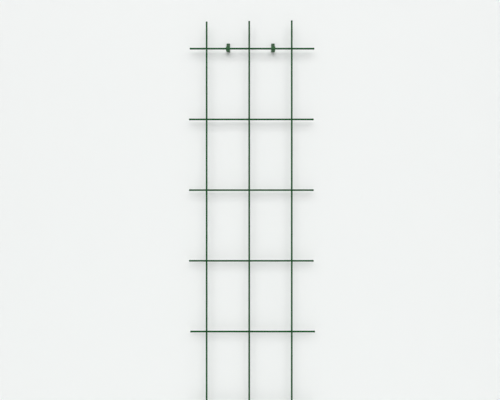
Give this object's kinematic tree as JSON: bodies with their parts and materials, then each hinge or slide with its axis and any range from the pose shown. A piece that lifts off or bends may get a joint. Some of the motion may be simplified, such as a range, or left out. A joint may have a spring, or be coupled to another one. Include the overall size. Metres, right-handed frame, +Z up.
{
  "type": "garden trellis",
  "caption": "Wall trellis for climbing plants: an open grid of green plastic-coated steel wires, hung on moulded holders that keep it clear of the wall.",
  "frame": {"origin": "on the wall plane, at the middle of an even cross rail's length and halfway between the top and bottom rails", "axes": "+Z up along the uprights, +Y into the wall, +X along the rails to the right as seen from the front"},
  "size_m": [0.4455, 0.0701, 1.8],
  "materials": {
    "coated_wire": "satin plastic coating on steel wire, moss green",
    "holder_plastic": "satin moulded plastic, leaf green",
    "screw_lacquer": "dark green lacquered steel",
    "plug_nylon": "matte grey nylon"
  },
  "bodies": {
    "wall_fixings": {"holder_top_left": "holder_plastic", "screw_top_left": "screw_lacquer", "plug_top_left": "plug_nylon", "holder_top_right": "holder_plastic", "screw_top_right": "screw_lacquer", "plug_top_right": "plug_nylon", "holder_bottom_left": "holder_plastic", "screw_bottom_left": "screw_lacquer", "plug_bottom_left": "plug_nylon", "holder_bottom_right": "holder_plastic", "screw_bottom_right": "screw_lacquer", "plug_bottom_right": "plug_nylon"},
    "panel": {"upright_left": "coated_wire", "upright_middle": "coated_wire", "upright_right": "coated_wire", "cross_rail_1": "coated_wire", "cross_rail_2": "coated_wire", "cross_rail_3": "coated_wire", "cross_rail_4": "coated_wire", "cross_rail_5": "coated_wire", "cross_rail_6": "coated_wire", "cross_rail_7": "coated_wire"}
  },
  "joints": [
    {"name": "panel_lift", "type": "slide", "parent": "wall_fixings", "child": "panel", "axis": [0, 0, 1], "range_m": [0, 0.02]}
  ]
}
